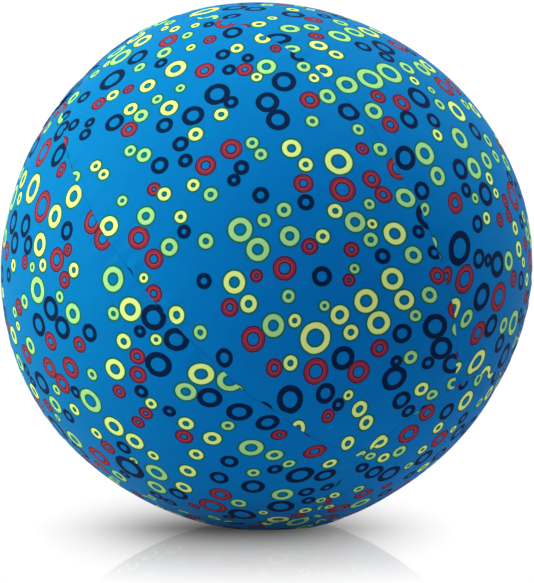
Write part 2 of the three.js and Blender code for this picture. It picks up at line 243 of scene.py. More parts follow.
@dataclass(frozen=True)
class BallForm:
    """The shape of the blown-up ball about its pole axis, and how it lies in the frame.

    Angles theta are taken from the opening's pole, and angles phi around the pole axis.
    """

    radius: float = 0.140
    gores: int = 6
    end_radius: float = 0.0625
    end_flattening: float = 0.003
    flattening_reach: float = math.radians(50)
    seam_valley: float = 0.0005
    valley_reach: float = 0.014
    rest_patch: float = 0.026
    rest_softness: float = 0.0005
    least_down: float = 0.2
    seam_wander: float = 0.0005
    wander_reach: float = 0.012
    wander_fade: float = 0.25
    wander_waves: Pair = (0.018, 0.060)
    side_seed: int = 201
    round_seed: int = 301
    swell: float = 0.0003
    swell_count: int = 6
    swell_turns: Pair = (3.0, 6.5)
    swell_seed: int = 11
    bulges: tuple[Bulge, ...] = (
        Bulge(5, 0.0010, 14),
        Bulge(62, -0.0026, 28),
        Bulge(112, 0.0006, 12),
        Bulge(141, -0.0022, 11),
        Bulge(163, -0.0014, 11),
        Bulge(208, 0.0018, 18),
        Bulge(282, 0.0030, 14),
    )
    pole_tilt: float = math.radians(42.7)
    pole_azimuth: float = math.radians(153.3)

    @property
    def middle(self) -> Vector:
        """Middle of the ball in the frame."""
        return Vector((0.0, 0.0, self.rest_height))

    @property
    def gore_angle(self) -> float:
        """Angle of one gore around the pole axis."""
        return FULL_TURN / self.gores

    @property
    def end_angle(self) -> float:
        """Angle from a pole to the seam of its round end."""
        return self.end_radius / self.radius

    @property
    def end_circle(self) -> float:
        """Radius of the circle that a round seam follows."""
        return math.sin(self.end_angle) * self.radius

    @cached_property
    def ground(self) -> Array:
        """Direction of the ground from the middle of the ball, about its own axis."""
        return self.direction(np.array(math.pi - self.pole_tilt), np.array(0.0))

    @cached_property
    def turn(self) -> Array:
        """Rotation from the ball's own axes to the frame."""
        tilts = np.array([self.pole_tilt + math.pi / 2, math.pi / 2, self.pole_tilt])
        return self.direction(tilts, self.pole_azimuth + np.array([0.0, math.pi / 2, 0.0])).T

    @cached_property
    def rest_height(self) -> float:
        """Finds the height of the ball's middle when the corners of the flat patch touch the ground.

        Returns:
            The height.
        """
        rest_angle = math.pi - self.pole_tilt
        row = self.rest_patch / 2 / self.radius
        theta = np.array([rest_angle - row, rest_angle + row])
        phi = np.full(2, row / math.sin(rest_angle))
        return float(np.min(self.plain_radius(theta, phi) * (self.direction(theta, phi) @ self.ground)))

    @cached_property
    def swells(self) -> tuple[Array, Array, Array]:
        """Draws the broad swells of a hand-sewn ball.

        Returns:
            Their directions, turns and phases.
        """
        dice = np.random.default_rng(self.swell_seed)
        axes = dice.normal(size=(self.swell_count, 3))
        axes /= np.linalg.norm(axes, axis=1, keepdims=True)
        turns = dice.uniform(*self.swell_turns, self.swell_count)
        return axes, turns, dice.uniform(0.0, FULL_TURN, self.swell_count)

    @staticmethod
    def direction(theta: Array, phi: Array) -> Array:
        """Gives unit directions at angles theta from the opening's pole and phi around it."""
        level, height = np.sin(theta), np.cos(theta) * np.ones_like(phi)
        return np.stack([level * np.cos(phi), level * np.sin(phi), height], axis=-1)

    def round_radius(self, theta: Array) -> Array:
        """Gives the ball's radius with its flatter closed end and without its seams."""
        flat = smoothstep(-np.cos(theta), math.cos(self.flattening_reach), 1.0)
        return self.radius - self.end_flattening * flat

    def to_seam(self, theta: Array, phi: Array) -> Array:
        """Measures over the cloth to the nearest seam.

        Args:
            theta: Angles from the opening's pole.
            phi: Angles around the pole axis.

        Returns:
            The distances.
        """
        from_pole = np.minimum(theta, math.pi - theta)
        to_ring = np.abs(from_pole - self.end_angle) * self.radius
        gore = phi / self.gore_angle
        share = 0.5 - np.abs(gore - np.round(gore))
        to_side = share * self.gore_angle * np.sin(theta) * self.radius
        return np.where(from_pole > self.end_angle, np.minimum(to_ring, to_side), to_ring)

    def plain_radius(self, theta: Array, phi: Array) -> Array:
        """Gives the radius of the cover's outside with its seam valleys."""
        fade = 1.0 - smoothstep(self.to_seam(theta, phi), 0.0, self.valley_reach)
        return self.round_radius(theta) - self.seam_valley * fade

    def swell_at(self, toward: Array) -> Array:
        """Works out the broad unevenness of the blown-up cover.

        Args:
            toward: Unit directions.

        Returns:
            Rises over the even ball.
        """
        axes, turns, phases = self.swells
        rise = self.swell * np.cos(toward @ axes.T * turns + phases).sum(axis=-1) / math.sqrt(len(turns))
        for bulge in self.bulges:
            clock = math.radians(bulge.clock)
            middle = np.array([math.cos(clock), 0.0, math.sin(clock)]) @ self.turn
            away = np.degrees(np.arccos(np.clip(toward @ middle, -1.0, 1.0)))
            rise = rise + bulge.height * np.exp(-((away / bulge.reach) ** 2))
        return rise

    def sewn(self, theta: Array, phi: Array) -> tuple[Array, Array]:
        """Moves places beside the seams a little, because seams sewn by eye aren't quite straight.

        Args:
            theta: Angles from the opening's pole.
            phi: Angles around the pole axis.

        Returns:
            The moved angles.
        """
        theta, phi = np.broadcast_arrays(theta, phi)
        from_pole = np.minimum(theta, math.pi - theta)
        across = np.maximum(np.sin(theta), math.sin(self.end_angle)) * self.radius
        seam = np.floor(phi / self.gore_angle)
        aside = (phi / self.gore_angle - seam - 0.5) * self.gore_angle * across
        wander = np.zeros(theta.shape)
        for number in range(self.gores):
            side = ripple(self.side_seed + number, self.wander_waves, theta * self.radius)
            wander = np.where(seam % self.gores == number, side, wander)
        fade = smoothstep(from_pole, self.end_angle, self.wander_fade + self.end_angle)
        near = np.exp(-((aside / self.wander_reach) ** 2)) * fade
        around, circle = phi * self.end_circle, FULL_TURN * self.end_circle
        upper, lower = (ripple(self.round_seed + end, self.wander_waves, around, circle) for end in range(2))
        drift = np.where(theta < math.pi / 2, upper, lower)
        beside = np.exp(-(((from_pole - self.end_angle) * self.radius / self.wander_reach) ** 2))
        return (theta + self.seam_wander * drift * beside / self.radius,
                phi + self.seam_wander * wander * near / across)

    def lay(self, theta: Array, phi: Array, depth: Array | float) -> Array:
        """Lays points on the ball and puts them into the frame.

        Args:
            theta: Angles from the opening's pole.
            phi: Angles around the pole axis.
            depth: Distances below the cover's outside.

        Returns:
            Points in the frame, pressed flat where the ball meets the ground.
        """
        toward = self.direction(*self.sewn(theta, phi))
        free = self.plain_radius(theta, phi) + self.swell_at(toward) - depth
        pressed = (self.rest_height - depth) / np.maximum(toward @ self.ground, self.least_down)
        apart = np.sqrt((free - pressed) ** 2 + self.rest_softness**2)
        return self.to_frame(toward * (0.5 * (free + pressed - apart))[..., None])

    def lay_end(self, flat: Array, depth: Array | float, upper: bool = True) -> Array:
        """Lays points given by their x and y over the cloth from the opening's pole, or the other one."""
        theta = np.hypot(flat[:, 0], flat[:, 1]) / self.radius
        return self.lay(theta if upper else math.pi - theta, np.arctan2(flat[:, 1], flat[:, 0]), depth)

    def to_frame(self, points: Array) -> Array:
        """Turns points about the ball's own axes into points of the frame."""
        return points @ self.turn.T + np.array([0.0, 0.0, self.rest_height])


@dataclass(frozen=True)
class TurnedEdge:
    """An edge of cloth that is folded under: a half round, and the turned part beneath it."""

    radius: float = 0.00022
    width: float = 0.007
    gap: float = 0.00002
    round_steps: int = 6
    inner_lines: tuple[float, ...] = (-0.0065, -0.0043, -0.0026, -0.0014, -0.0006)
    turned_lines: tuple[float, ...] = (0.15, 0.5, 1.0)

    @property
    def start(self) -> float:
        """Distance from the seam line inwards to the start of the half round."""
        return self.gap + self.radius

    @property
    def arc(self) -> float:
        """Length of cloth in the half round."""
        return math.pi * self.radius

    @cached_property
    def lines(self) -> Array:
        """Lists the cloth lines that are needed near the edge.

        Returns:
            Their distances past the start of the fold.
        """
        rounded = self.arc * np.arange(self.round_steps + 1) / self.round_steps
        turned = self.arc + self.width * np.array(self.turned_lines)
        return np.concatenate([self.inner_lines, rounded, turned])

    def fold(self, past: Array) -> tuple[Array, Array]:
        """Folds cloth at the edge.

        Args:
            past: Distances along the cloth past the start of the fold.

        Returns:
            The distances inwards from the seam line, and the depths below the outside.
        """
        angle = np.clip(past / self.radius, 0.0, math.pi)
        flat = np.maximum(past - self.arc, 0.0) + np.maximum(-past, 0.0)
        return self.start - self.radius * np.sin(angle) + flat, self.radius * (1.0 - np.cos(angle))


@dataclass(frozen=True)
class Puckers:
    """The small ripples that sewing leaves in the cloth beside a seam."""

    height: float = 0.0004
    rise: float = 0.003
    fade: float = 0.007
    waves: Pair = (0.006, 0.015)

    def at(self, seed: int, distance: Array, along: Array, loop: float = 0.0) -> Array:
        """Gives how far the ripples of one side of a seam lift the cloth."""
        share = smoothstep(distance, 0.0, self.rise) * np.exp(-np.maximum(distance, 0.0) / self.fade)
        return self.height * share * ripple(seed, self.waves, along, loop)


class Board:
    """Sets out and joins the nodes of one tree."""

    MIX_FIRST = 6
    MIX_SECOND = 7
    MIX_RESULT = 2

    def __init__(self, tree: Tree) -> None:
        """Starts from an empty tree."""
        tree.nodes.clear()
        self.tree = tree

    def node(self, kind: str, inputs: dict | None = None, **settings: object) -> Outputs:
        """Adds a node.

        Args:
            kind: Blender's name of it.
            inputs: Sockets to link and values to set, by the input's name or number.
            settings: Its other settings.

        Returns:
            The node's outputs.
        """
        made = self.tree.nodes.new(kind)
        for name, value in settings.items():
            setattr(made, name, value)
        for key, value in (inputs or {}).items():
            if isinstance(value, Socket):
                self.tree.links.new(value, made.inputs[key])
            else:
                made.inputs[key].default_value = value
        return made.outputs

    def maths(self, operation: str, *values: object) -> Socket:
        """Adds a sum of sockets and numbers, by Blender's name of it."""
        return self.node("ShaderNodeMath", dict(enumerate(values)), operation=operation)[0]

    def vector(self, operation: str, *values: object) -> Socket:
        """Adds a sum of vectors, by Blender's name of it."""
        return self.node("ShaderNodeVectorMath", dict(enumerate(values)), operation=operation)[0]

    def parts(self, vector: Socket) -> Outputs:
        """Splits a vector into its coordinates."""
        return self.node("ShaderNodeSeparateXYZ", {0: vector})

    def channels(self, colour: Socket) -> Outputs:
        """Splits a colour into its channels."""
        return self.node("ShaderNodeSeparateColor", {0: colour})

    def noise(self, place: Socket, scale: float, detail: float) -> Outputs:
        """Adds a cloudy noise."""
        return self.node("ShaderNodeTexNoise", {"Vector": place, "Scale": scale, "Detail": detail})

    def bump(self, height: Socket, strength: float, depth: float) -> Socket:
        """Turns a height into a bump of the surface."""
        return self.node("ShaderNodeBump", {"Strength": strength, "Distance": depth, "Height": height})[0]

    def mix(self, share: object, first: object, second: object, blend: str = "MIX") -> Socket:
        """Mixes a share of a second colour into a first, in the way that Blender names."""
        inputs = {0: share, self.MIX_FIRST: first, self.MIX_SECOND: second}
        return self.node("ShaderNodeMix", inputs, data_type="RGBA", blend_type=blend)[self.MIX_RESULT]

    def band(self, value: Socket, low: object, high: object, start: float = 0.0, end: float = 1.0) -> Socket:
        """Maps a value smoothly from start at low to end at high."""
        inputs = {"Value": value, "From Min": low, "From Max": high, "To Min": start, "To Max": end}
        return self.node("ShaderNodeMapRange", inputs, interpolation_type="SMOOTHSTEP")[0]

    def ramp(self, value: Socket, stops: list[tuple[float, Colour]], stepped: bool = False) -> Outputs:
        """Adds a colour ramp.

        Args:
            value: What runs along it.
            stops: Positions and colours.
            stepped: Whether the colours change in steps.

        Returns:
            The colour and its fourth value, in two sockets.
        """
        made = self.tree.nodes.new("ShaderNodeValToRGB")
        bar = made.color_ramp
        bar.interpolation = "CONSTANT" if stepped else "LINEAR"
        while len(bar.elements) < len(stops):
            bar.elements.new(0.5)
        for element, (position, colour) in zip(bar.elements, stops):
            element.position = position
            element.color = colour
        self.tree.links.new(value, made.inputs[0])
        return made.outputs

    @classmethod
    def growing(cls, name: str, inputs: dict[str, str]) -> tuple[Board, Outputs]:
        """Starts a tree that grows a mesh from a line.

        Args:
            name: Name of the tree.
            inputs: Kinds of its inputs by name, apart from the line.

        Returns:
            The board, and the sockets that give the inputs.
        """
        tree = bpy.data.node_groups.new(name, "GeometryNodeTree")
        for label, kind in {"Geometry": "Geometry", **inputs}.items():
            tree.interface.new_socket(label, in_out="INPUT", socket_type=f"NodeSocket{kind}")
        tree.interface.new_socket("Geometry", in_out="OUTPUT", socket_type="NodeSocketGeometry")
        board = cls(tree)
        return board, board.node("NodeGroupInput")

    def dressed(self, geometry: Socket, material: Socket) -> Tree:
        """Ends a growing tree with a plain mesh in its finish.

        Args:
            geometry: What has grown.
            material: Its finish.

        Returns:
            The tree.
        """
        real = self.node("GeometryNodeRealizeInstances", {0: geometry})[0]
        mesh = self.node("GeometryNodeSetMaterial", {"Geometry": real, "Material": material})[0]
        self.node("NodeGroupOutput", {0: mesh})
        return self.tree


@dataclass(frozen=True)
class Finish:
    """A finish that pieces share."""

    name: str

    def surface(self, board: Board) -> Socket:
        """Sets out the nodes of the finish and gives its shader."""
        raise NotImplementedError

    def material(self) -> Material:
        """Makes the finish's material.

        Returns:
            The material.
        """
        made = bpy.data.materials.new(self.name)
        made.use_nodes = True
        board = Board(made.node_tree)
        board.node("ShaderNodeOutputMaterial", {"Surface": self.surface(board)})
        return made


@dataclass(frozen=True)
class RingLayer:
    """One layer of printed rings, scattered at random."""

    spacing: float
    smallest: float
    growth: float
    fill: float
    scatter: float
    shift: tuple[float, float, float]


@dataclass(frozen=True)
class RingInk:
    """One ink of the print: where its share of the rings starts, its edge, its hole and its middle line."""

    start: float
    colour: Colour
    edge: Colour
    edge_share: float
    hole: float
    hole_growth: float
    line: float = 0.0

    @property
    def form(self) -> Colour:
        """The ring's form as a colour, so that one ramp can hold it."""
        return (self.hole, self.hole_growth, self.line, self.edge_share)


@dataclass(frozen=True)
class RingSockets:
    """What the print knows at each place of its ring there."""

    distance: Socket
    size: Socket
    pick: Socket
    present: Socket


LEAF_EDGE = ink(16, 88, 76)
PLUM_EDGE = ink(62, 20, 58)
NAVY = ink(4, 27, 62)


@dataclass(frozen=True)
class PrintedCotton(Finish):
    """The cover's cloth: a taut plain weave, dyed blue and printed with rings."""

    name: str = Slot.COTTON.value
    blue: Colour = ink(1, 102, 171)
    dye_shade: Colour = (0.94, 0.95, 0.96, 1.0)
    dye_range: Pair = (0.3, 0.7)
    dye_scale: float = 55.0
    dye_detail: float = 4.0
    inks: tuple[RingInk, ...] = (
        RingInk(0.0, ink(200, 218, 128), LEAF_EDGE, 0.52, 0.30, 0.40),
        RingInk(0.25, ink(146, 194, 130), LEAF_EDGE, 0.52, 0.30, 0.40),
        RingInk(0.49, NAVY, NAVY, 0.40, 0.50, 0.80),
        RingInk(0.77, ink(148, 48, 56), PLUM_EDGE, 0.40, 0.36, 0.50, line=0.8),
    )
    large_rings: RingLayer = RingLayer(0.0162, 0.0040, 0.0068, 1.05, 0.68, (0.129, 0.771, 0.0))
    small_rings: RingLayer = RingLayer(0.0121, 0.0034, 0.0022, 1.06, 1.0, (0.313, 0.171, 0.0))
    size_bias: float = 1.4
    hole_start: float = 0.003
    hole_rate: float = 110.0
    widest_hole: float = 0.66
    print_softness: float = 0.00022
    widest_edge: float = 0.002
    line_half: float = 0.00022
    wobble: float = 0.00018
    wobble_scale: float = 240.0
    wobble_detail: float = 1.0
    thread_pitch: float = 0.00042
    weave_depth: float = 0.00005
    weave_bump: float = 0.6
    # Painted shade in the low places of the weave, between the threads, and the weave height where it ends.
    painted_weave_shade: Colour = (0.86, 0.86, 0.86, 1.0)
    weave_light: float = 0.7
    roughness: float = 0.78
    specular: float = 0.02
    sheen: float = 0.05
    sheen_roughness: float = 0.25
    sheen_tint: Colour = (1.0, 0.9, 0.6, 1.0)

    def surface(self, board: Board) -> Socket:
        """Sets out the cloth on the piece's own flat cut.

        Args:
            board: The tree.

        Returns:
            The shader's socket.
        """
        cut = board.node("ShaderNodeUVMap", uv_map=CLOTH_MAP)[0]
        drawn = self.wobbled(board, cut)
        large = self.ring(board, drawn, self.large_rings)
        small = self.ring(board, drawn, self.small_rings, clear_of=self.large_rings)
        colour = self.printed(board, self.printed(board, self.dyed(board, cut), small), large)
        weave = self.weave(board, cut)
        # Painted shade: the colour is darkened where the weave lies low, between the threads.
        shade = board.ramp(weave, [(0.0, self.painted_weave_shade), (self.weave_light, WHITE)])[0]
        return board.node("ShaderNodeBsdfPrincipled", {
            "Base Color": board.mix(1.0, colour, shade, "MULTIPLY"),
            "Normal": board.bump(weave, self.weave_bump, self.weave_depth),
            "Roughness": self.roughness,
            "Specular IOR Level": self.specular,
            "Sheen Weight": self.sheen,
            "Sheen Roughness": self.sheen_roughness,
            "Sheen Tint": self.sheen_tint,
        })[0]

    def wobbled(self, board: Board, cut: Socket) -> Socket:
        """Moves the print a little, as hand-drawn edges do.

        Args:
            board: The tree.
            cut: The flat cut.

        Returns:
            The moved place's socket.
        """
        noise = board.noise(cut, self.wobble_scale, self.wobble_detail)
        centred = board.vector("SUBTRACT", noise["Color"], (0.5, 0.5, 0.5))
        reach = {0: centred, "Scale": 2.0 * self.wobble}
        return board.vector("ADD", cut, board.node("ShaderNodeVectorMath", reach, operation="SCALE")[0])

    def dyed(self, board: Board, cut: Socket) -> Socket:
        """Gives the blue ground with the slight unevenness of dyed cotton.

        Args:
            board: The tree.
            cut: The flat cut.

        Returns:
            The ground's colour.
        """
        noise = board.noise(cut, self.dye_scale, self.dye_detail)
        shade = board.ramp(noise[0], list(zip(self.dye_range, (self.dye_shade, WHITE))))[0]
        return board.mix(1.0, self.blue, shade, "MULTIPLY")

    @staticmethod
    def cells(board: Board, place: Socket, layer: RingLayer, feature: str) -> Outputs:
        """Adds the random cells of a ring layer.

        Args:
            board: The tree.
            place: Where the cells are read.
            layer: The ring layer.
            feature: What is read of them, in Blender's words.

        Returns:
            What the cells give.
        """
        moved = board.vector("ADD", place, layer.shift)
        inputs = {"Vector": moved, "Scale": 1.0 / layer.spacing, "Randomness": layer.scatter}
        return board.node("ShaderNodeTexVoronoi", inputs, voronoi_dimensions="2D", feature=feature)

    def ring(self, board: Board, place: Socket, layer: RingLayer,
             clear_of: RingLayer | None = None) -> RingSockets:
        """Works out one layer of rings: each takes a random size, within the room that it has.

        Args:
            board: The tree.
            place: The flat cut.
            layer: The layer's sizes.
            clear_of: A layer whose rings these may touch and not cover.

        Returns:
            The sockets that describe the ring at each place.
        """
        cells = self.cells(board, place, layer, "F1")
        picks = board.channels(cells["Color"])
        half_way = self.cells(board, place, layer, "N_SPHERE_RADIUS")["Radius"]
        room = board.maths("MULTIPLY", half_way, layer.fill * layer.spacing)
        growth = board.maths("POWER", picks[1], self.size_bias)
        wish = board.maths("MULTIPLY_ADD", growth, layer.growth, layer.smallest)
        if clear_of is not None:
            centre = board.vector("SUBTRACT", cells["Position"], layer.shift)
            other = self.ring(board, centre, clear_of)
            taken = board.maths("MULTIPLY", other.size, other.present)
            room = board.maths("MINIMUM", room, board.maths("SUBTRACT", other.distance, taken))
        return RingSockets(
            distance=board.maths("MULTIPLY", cells["Distance"], layer.spacing),
            size=board.maths("MINIMUM", wish, room),
            pick=picks[0],
            present=board.maths("GREATER_THAN", room, layer.smallest),
        )

    def within(self, board: Board, ring: RingSockets, outer: Socket, inner: Socket) -> Socket:
        """Marks what lies between two radii of a ring, with soft edges.

        Args:
            board: The tree.
            ring: The layer.
            outer: The outer radius.
            inner: The inner radius.

        Returns:
            1 between the radii and 0 elsewhere.
        """
        share = ring.present
        for radius, start in ((outer, 1.0), (inner, 0.0)):
            low, high = (board.maths(way, radius, self.print_softness) for way in ("SUBTRACT", "ADD"))
            share = board.maths("MULTIPLY", share, board.band(ring.distance, low, high, start, 1.0 - start))
        return share

    def printed(self, board: Board, ground: Socket, ring: RingSockets) -> Socket:
        """Prints one layer of rings over a ground.

        Args:
            board: The tree.
            ground: Colour below.
            ring: The layer.

        Returns:
            The printed colour's socket.
        """
        colour, edge_colour, form = (
            board.ramp(ring.pick, [(each.start, getattr(each, part)) for each in self.inks], stepped=True)
            for part in ("colour", "edge", "form")
        )
        hole_share, hole_growth, line_share = list(board.channels(form["Color"]))[:3]
        rise = board.maths("MULTIPLY", board.maths("SUBTRACT", ring.size, self.hole_start), self.hole_rate)
        share = board.maths("MULTIPLY_ADD", rise, hole_growth, hole_share)
        hole = board.maths("MULTIPLY", ring.size, board.maths("MINIMUM", share, self.widest_hole))
        width = board.maths("MULTIPLY", form["Alpha"], self.widest_edge)
        edge = self.within(board, ring, ring.size, board.maths("SUBTRACT", hole, width))
        fill = self.within(board, ring, board.maths("SUBTRACT", ring.size, width), hole)
        middle = board.maths("MULTIPLY", board.maths("ADD", ring.size, hole), 0.5)
        outer, inner = (board.maths(way, middle, self.line_half) for way in ("ADD", "SUBTRACT"))
        line = board.maths("MULTIPLY", self.within(board, ring, outer, inner), line_share)
        result = board.mix(fill, board.mix(edge, ground, edge_colour[0]), colour[0])
        return board.mix(line, result, PLUM_EDGE)

    def weave(self, board: Board, cut: Socket) -> Socket:
        """Gives the plain weave: warp and weft that pass over each other in turn.

        Args:
            board: The tree.
            cut: The flat cut.

        Returns:
            The height of the weave.
        """
        turn = math.pi / self.thread_pitch
        parts = board.parts(cut)
        across, along = (board.maths("SINE", board.maths("MULTIPLY", parts[axis], turn)) for axis in range(2))
        over = board.maths("GREATER_THAN", board.maths("MULTIPLY", across, along), 0.0)
        warp, weft = (board.maths("ABSOLUTE", thread) for thread in (across, along))
        return board.node("ShaderNodeMix", {"Factor": over, "A": warp, "B": weft}, data_type="FLOAT")[0]


@dataclass(frozen=True)
class SewingThread(Finish):
    """Twisted polyester thread in the blue of the cloth, with its twist as fine slanting lines that carry a
    painted highlight.
    """

    name: str = Slot.THREAD.value
    colour: Colour = ink(8, 72, 128)
    # Painted highlight along the strands of the twist.
    painted_highlight: Colour = ink(26, 104, 168)
    twist: float = 2600.0
    twist_wobble: float = 0.6
    bump: float = 0.4
    bump_depth: float = 0.00004
    roughness: float = 0.5
    sheen: float = 0.08

    def surface(self, board: Board) -> Socket:
        """Sets out the thread.

        Args:
            board: The tree.

        Returns:
            The shader's socket.
        """
        place = board.node("ShaderNodeTexCoord")["Object"]
        inputs = {"Vector": place, "Scale": self.twist, "Distortion": self.twist_wobble}
        strands = board.node("ShaderNodeTexWave", inputs, wave_type="BANDS", bands_direction="DIAGONAL")[1]
        return board.node("ShaderNodeBsdfPrincipled", {
            # Painted highlight: each strand of the twist is lighter along its band.
            "Base Color": board.mix(strands, self.colour, self.painted_highlight),
            "Normal": board.bump(strands, self.bump, self.bump_depth),
            "Roughness": self.roughness,
            "Sheen Weight": self.sheen,
        })[0]


@dataclass(frozen=True)
class Latex(Finish):
    """The balloon's stretched milky latex, with a bloom of powder."""

    name: str = Slot.LATEX.value
    milky: Colour = ink(236, 230, 214)
    warm: Colour = ink(222, 208, 182)
    cloud_scale: float = 60.0
    cloud_detail: float = 5.0
    cloud_range: Pair = (0.35, 0.75)
    powder_scale: float = 900.0
    powder_detail: float = 2.0
    powder_range: Pair = (0.3, 0.7)
    roughness: Pair = (0.34, 0.5)
    bump: float = 0.15
    bump_depth: float = 0.0001
    glow: float = 0.12
    glow_reach: tuple[float, float, float] = (0.004, 0.003, 0.002)

    def surface(self, board: Board) -> Socket:
        """Sets out the latex.

        Args:
            board: The tree.

        Returns:
            The shader's socket.
        """
        place = board.node("ShaderNodeTexCoord")["Object"]
        cloud = board.noise(place, self.cloud_scale, self.cloud_detail)[0]
        powder = board.noise(place, self.powder_scale, self.powder_detail)[0]
        return board.node("ShaderNodeBsdfPrincipled", {
            "Base Color": board.mix(board.band(cloud, *self.cloud_range), self.milky, self.warm),
            "Roughness": board.band(powder, *self.powder_range, *self.roughness),
            "Normal": board.bump(powder, self.bump, self.bump_depth),
            "Subsurface Weight": self.glow,
            "Subsurface Radius": self.glow_reach,
        })[0]


@dataclass(frozen=True)
class PolishedFloor(Finish):
    """White acrylic whose own glow stands in for light from below, with a painted soft shadow under the ball
    that darkens both the glow and the faint mirror image.
    """

    name: str = "floor_white"
    glow: float = 1.05
    # Painted shadow under the ball: its depth, middle, reach and falloff.
    painted_shadow_depth: float = 0.94
    painted_shadow_middle: Pair = (-0.011, -0.013)
    painted_shadow_reach: Pair = (0.074, 0.088)
    painted_shadow_power: Pair = (2.6, 1.54)
    mirror_share: float = 0.25
    mirror_start: float = 0.109
    mirror_end: float = 0.242
    mirror_roughness: float = 0.03

    def surface(self, board: Board) -> Socket:
        """Sets out the floor.

        Args:
            board: The tree.

        Returns:
            The shader's socket.
        """
        place = board.node("ShaderNodeTexCoord")["Object"]
        # Painted shadow: a soft patch under the ball, where the floor's glow and mirror image are darkened.
        shape = zip(board.parts(place), self.painted_shadow_middle, self.painted_shadow_reach, self.painted_shadow_power)
        fall: object = 0.0
        for axis, middle, reach, power in shape:
            away = board.maths("ABSOLUTE", board.maths("SUBTRACT", axis, middle))
            share = board.maths("POWER", board.maths("DIVIDE", away, reach), power)
            fall = board.maths("SUBTRACT", fall, share)
        # The painted shadow darkens the glow and the mirror's colour alike.
        clear = board.maths("MULTIPLY_ADD", board.maths("EXPONENT", fall), -self.painted_shadow_depth, 1.0)
        lit = board.node("ShaderNodeEmission", {"Strength": board.maths("MULTIPLY", clear, self.glow)})[0]
        mirror = board.node("ShaderNodeBsdfGlossy", {"Color": clear, "Roughness": self.mirror_roughness})[0]
        away = board.node("ShaderNodeVectorMath", {0: place}, operation="LENGTH")["Value"]
        share = board.band(away, self.mirror_start, self.mirror_end, self.mirror_share, 0.0)
        return board.node("ShaderNodeMixShader", {0: share, 1: lit, 2: mirror})[0]


@dataclass
class Stitches:
    """Rows of stitches, set along a line by one node tree."""

    material: Material
    stitch: float = 0.0026
    gap: float = 0.0005
    thread_radius: float = 0.00013
    bead_segments: int = 8
    bead_rings: int = 6

    @cached_property
    def tree(self) -> Tree:
        """Builds the node tree that all rows share: slim beads in line, one for each stitch.

        Returns:
            The tree.
        """
        sizes = dict.fromkeys(("Stitch Length", "Gap", "Thread Radius"), "Float")
        board, given = Board.growing("stitch_row", {**sizes, "Thread": "Material"})
        line = board.node("GeometryNodeMeshToCurve", {0: given["Geometry"]})[0]
        pitch = board.maths("ADD", given["Stitch Length"], given["Gap"])
        even = board.node("GeometryNodeResampleCurve", {"Curve": line, "Length": pitch}, mode="LENGTH")[0]
        ball = {"Segments": self.bead_segments, "Rings": self.bead_rings, "Radius": 1.0}
        tangent = board.node("GeometryNodeInputTangent")[0]
        thin = given["Thread Radius"]
        half = board.maths("MULTIPLY", given["Stitch Length"], 0.5)
        beads = board.node("GeometryNodeInstanceOnPoints", {
            "Points": even,
            "Instance": board.node("GeometryNodeMeshUVSphere", ball)["Mesh"],
            "Rotation": board.node("FunctionNodeAlignRotationToVector", {"Vector": tangent}, axis="Z")[0],
            "Scale": board.node("ShaderNodeCombineXYZ", {0: thin, 1: thin, 2: half})[0],
        })[0]
        return board.dressed(beads, given["Thread"])

    def sew(self, name: str, node: str, line: Array, closed: bool = False, body: Body = Body.COVER) -> Piece:
        """Sews one row of stitches in place of its solid.

        Args:
            name: Name of the piece.
            node: The solid that it replaces.
            line: Points that the row follows, in the frame.
            closed: Whether the row runs round into itself.
            body: The body that it rides on.

        Returns:
            The stitches as one plain mesh.
        """
        made = grown(name, line, closed, self.tree, {
            "Stitch Length": self.stitch,
            "Gap": self.gap,
            "Thread Radius": self.thread_radius,
            "Thread": self.material,
        })
        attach(made, body.value)
        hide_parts(node)
        return made


